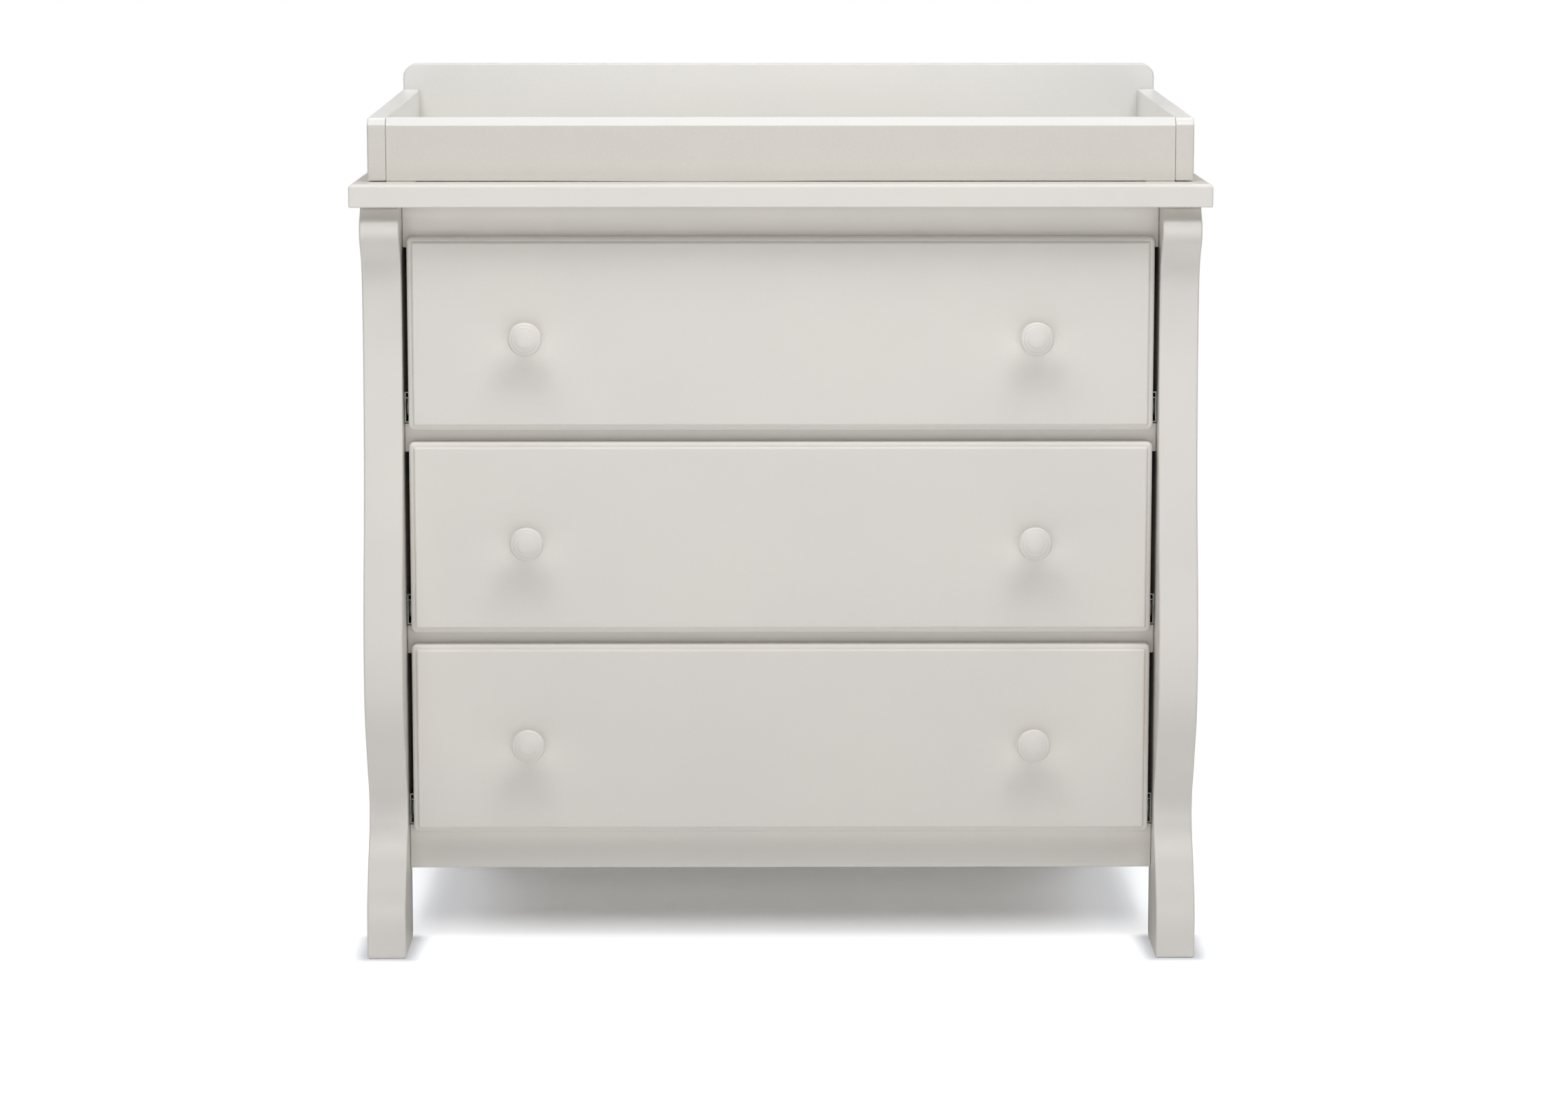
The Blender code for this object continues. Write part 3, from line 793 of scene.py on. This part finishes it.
def build_screws():
    for word, _ in SIDES:
        node = f"{word}_joining_plate"
        low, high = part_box(node)
        middle = (low.x + high.x) / 2
        heights = (BOARD_HIGH.z - PLATE_SCREW_AWAY, BOARD_HIGH.z + PLATE_SCREW_AWAY)
        screws(f"{word}_plate_screws", [Vector((middle, high.y, z)) for z in heights], node)
    for place in DRAWERS:
        front = f"{place}_drawer_front"
        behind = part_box(front)[1].y
        knobs = [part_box(f"{place}_drawer_{word}_knob") for word, _ in SIDES]
        middles = [(low + high) / 2 for low, high in knobs]
        screws(f"{place}_knob_screws", [Vector((m.x, behind, m.z)) for m in middles], front)


# ---------------------------------------------------------------- hardware that keeps its CAD shape


def dress_hardware():
    for name, node in frame["nodes"].items():
        if node.hide_render:
            continue
        look = "nylon" if name.endswith("_roller") else "steel"
        node.data.materials.clear()
        node.data.materials.append(MATERIALS[look][1])


# ---------------------------------------------------------------- studio


def area_light(name, size, power):
    """A rectangular light that the camera doesn't see."""
    light = bpy.data.lights.new(name, "AREA")
    light.shape = "RECTANGLE"
    light.size, light.size_y = size
    light.energy = power
    obj = placed(name, light)
    obj.visible_camera = False
    return obj


def softbox(name, azimuth, elevation, distance, size, power):
    """A light aimed at the middle of the object."""
    obj = area_light(name, size, power)
    a, e = math.radians(azimuth), math.radians(elevation)
    away = Vector((math.sin(a) * math.cos(e), -math.cos(a) * math.cos(e), math.sin(e)))
    obj.location = Vector(LIGHT_AIM) + away * distance
    obj.rotation_euler = away.to_track_quat("Z", "Y").to_euler()


def floor_panel(size, place, power):
    """A light that lies on the floor and shines up."""
    obj = area_light("floor_panel", size, power)
    obj.location = place
    obj.rotation_euler = (math.pi, 0, 0)


def build_world():
    """Even white light, and a plain white background."""
    world = bpy.data.worlds.new("studio")
    bpy.context.scene.world = world
    world.use_nodes = True
    tree = world.node_tree
    background = tree.nodes["Background"]
    background.inputs["Color"].default_value = (1, 1, 1, 1)
    ray = add(tree, "ShaderNodeLightPath")
    strength = add(tree, "ShaderNodeMapRange", {"To Min": WORLD_LIGHT, "To Max": WORLD_SEEN})
    tree.links.new(ray.outputs["Is Camera Ray"], strength.inputs["Value"])
    tree.links.new(strength.outputs["Result"], background.inputs["Strength"])


def combined(tree, operation, first, second):
    """One number from two."""
    made = add(tree, "ShaderNodeMath", operation=operation)
    tree.links.new(first, made.inputs[0])
    tree.links.new(second, made.inputs[1])
    return made.outputs["Value"]


def faded(tree, vector, start, end, least, most):
    """Least where the vector's length is below start, rising smoothly to most at end."""
    length = add(tree, "ShaderNodeVectorMath", operation="LENGTH")
    tree.links.new(vector, length.inputs[0])
    values = {"From Min": start, "From Max": end, "To Min": least, "To Max": most}
    fade = add(tree, "ShaderNodeMapRange", values, interpolation_type="SMOOTHSTEP")
    tree.links.new(length.outputs["Value"], fade.inputs["Value"])
    return fade.outputs["Result"]


def stepped(tree, vector, steps):
    """The vector after vector math steps, each an operation and its constant or None."""
    for operation, constant in steps:
        made = add(tree, "ShaderNodeVectorMath", operation=operation)
        tree.links.new(vector, made.inputs[0])
        if constant is not None:
            made.inputs[1].default_value = constant
        vector = made.outputs["Vector"]
    return vector


def outside_box(half):
    """Steps that give how far a place is outside a box round the origin, from half its size."""
    return (("ABSOLUTE", None), ("SUBTRACT", half), ("MAXIMUM", (0, 0, 0)))


def floor_material():
    """Pale floor that takes the shadow. The camera sees it give way to plain white further out,
    with a painted contact shadow round each foot.
    """
    material, tree, shader = new_tree("studio_floor")
    tree.nodes.remove(shader)
    ray = add(tree, "ShaderNodeLightPath").outputs["Is Camera Ray"]
    place = add(tree, "ShaderNodeTexCoord").outputs["Object"]
    shadowed = add(tree, "ShaderNodeBsdfDiffuse")
    tree.links.new(mixed(tree, ray, FLOOR_BOUNCE, FLOOR_SEEN), shadowed.inputs["Color"])
    white = add(tree, "ShaderNodeEmission", {"Color": (1, 1, 1, 1)})
    # A painted contact shadow: the white glows less close to each foot
    to_foot = (("ABSOLUTE", None), ("SUBTRACT", FOOT_PLACE), *outside_box(FOOT_HALF))
    painted_contact_shadow = faded(tree, stepped(tree, place, to_foot), 0, CONTACT_REACH, PAINTED_CONTACT_SHADOW, 1)
    tree.links.new(painted_contact_shadow, white.inputs["Strength"])
    shadow_place = object_place(tree, SHADOW_STRETCH, SHADOW_SHIFT)
    beyond = stepped(tree, shadow_place, outside_box(SHADOW_HALF))
    clear = faded(tree, beyond, 0, SHADOW_FADE, 0, 1 - SHADOW_KEPT)
    rest = faded(tree, place, KEPT_NEAR, KEPT_FAR, 0, SHADOW_KEPT)
    seen = combined(tree, "MULTIPLY", combined(tree, "ADD", clear, rest), ray)
    blend = add(tree, "ShaderNodeMixShader")
    tree.links.new(seen, blend.inputs["Fac"])
    tree.links.new(shadowed.outputs["BSDF"], blend.inputs[1])
    tree.links.new(white.outputs["Emission"], blend.inputs[2])
    tree.links.new(blend.outputs["Shader"], tree.nodes["Material Output"].inputs["Surface"])
    return material


def build_floor():
    mesh = bpy.data.meshes.new("floor")
    signs = ((-1, -1), (1, -1), (1, 1), (-1, 1))
    mesh.from_pydata([(x * FLOOR_REACH, y * FLOOR_REACH, 0) for x, y in signs], [], [(0, 1, 2, 3)])
    mesh.materials.append(floor_material())
    floor = placed("floor", mesh)


def build_camera():
    data = bpy.data.cameras.new("camera")
    data.lens = LENS_MM
    data.sensor_width = SENSOR_MM
    camera = placed("camera", data)
    camera.location = (CAMERA_X, BOARD_LOW.y - CAMERA_AHEAD, CAMERA_UP)
    camera.rotation_euler = (math.radians(90 - CAMERA_PITCH), 0, math.radians(CAMERA_YAW))
    bpy.context.scene.camera = camera


def build_studio():
    build_camera()
    build_world()
    build_floor()
    for light in LIGHTS:
        softbox(*light)
    floor_panel(*FLOOR_PANEL)
    bpy.context.scene.view_settings.view_transform = "Standard"


build_studio()
build_carcass()
for place in DRAWERS:
    build_drawer(place)
build_tray()
build_screws()
dress_hardware()
